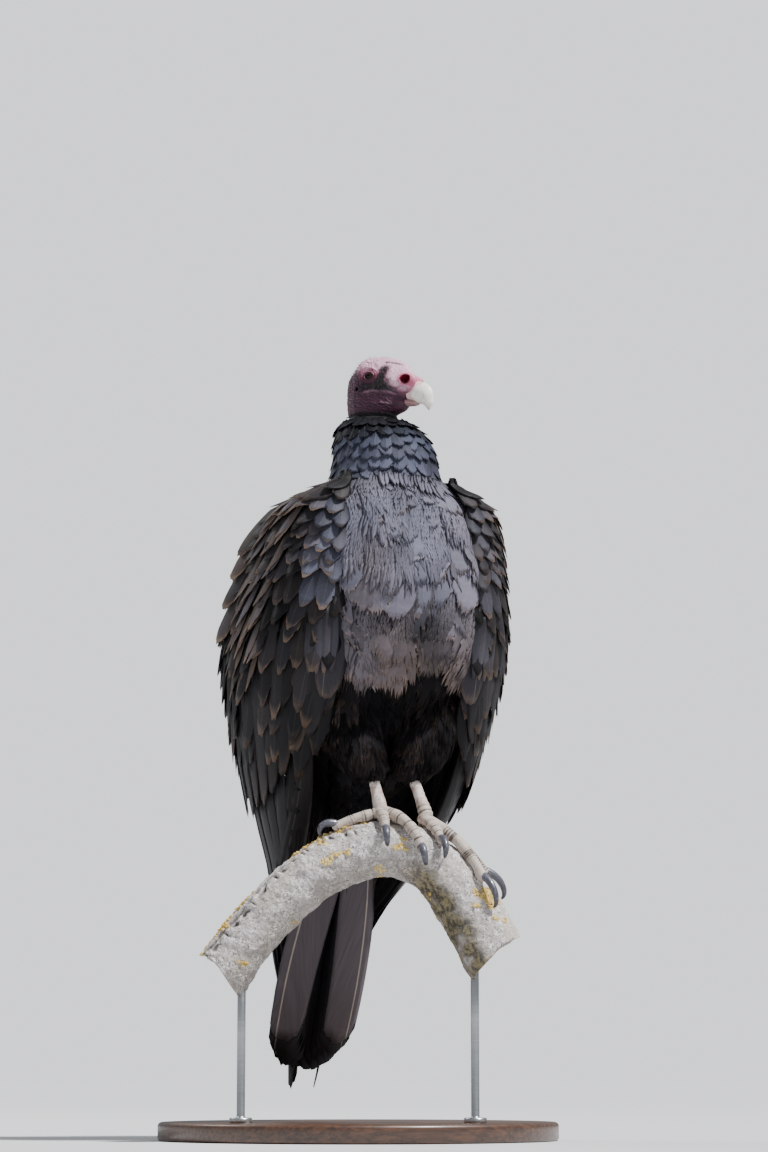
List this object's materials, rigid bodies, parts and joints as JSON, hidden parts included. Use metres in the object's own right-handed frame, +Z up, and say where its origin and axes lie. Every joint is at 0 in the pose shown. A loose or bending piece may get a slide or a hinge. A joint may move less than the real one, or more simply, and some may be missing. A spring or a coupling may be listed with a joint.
{
  "type": "turkey vulture",
  "caption": "Perched turkey vulture, a still life-size model gripping a short arched branch on a round display stand.",
  "frame": {"origin": "middle of the round stand's flat underside", "axes": "+Z up, the bird's chest faces -Y, its left side is +X"},
  "size_m": [0.392, 0.3921, 0.7692],
  "materials": {
    "plumage": "matt brown-black body feathers",
    "ruff": "blue-grey ruff feathers",
    "coverts": "brown-black coverts with paler edges",
    "flight_feathers": "blackish flight feathers",
    "tail_feathers": "grey-brown tail feathers with pale shafts",
    "head_skin": "bare wrinkled pink and purple skin",
    "ivory": "ivory horn",
    "eye": "dark wet eye",
    "leg_skin": "scaly pale skin",
    "claw": "dark horn",
    "bark": "grey weathered bark with lichen",
    "stand_wood": "dark satin wood",
    "stand_steel": "brushed steel rod"
  },
  "bodies": {
    "root": {"bill_lower": "ivory", "bill_upper": "ivory", "claw_hind_left": "claw", "claw_hind_right": "claw", "claw_inner_left": "claw", "claw_inner_right": "claw", "claw_middle_left": "claw", "claw_middle_right": "claw", "claw_outer_left": "claw", "claw_outer_right": "claw", "eye_left": "eye", "eye_right": "eye", "foot_left": "leg_skin", "foot_right": "leg_skin", "head": "head_skin", "neck": "ruff", "perch": "bark", "stand_base": "stand_wood", "stand_rod_left": "stand_steel", "stand_rod_right": "stand_steel", "tail": "tail_feathers", "tarsus_left": "leg_skin", "tarsus_right": "leg_skin", "thigh_left": "plumage", "thigh_right": "plumage", "trunk": "plumage", "wing_arm_left": "coverts", "wing_arm_right": "coverts", "wing_primaries_left": "flight_feathers", "wing_primaries_right": "flight_feathers", "wing_secondaries_left": "flight_feathers", "wing_secondaries_right": "flight_feathers"}
  },
  "joints": []
}
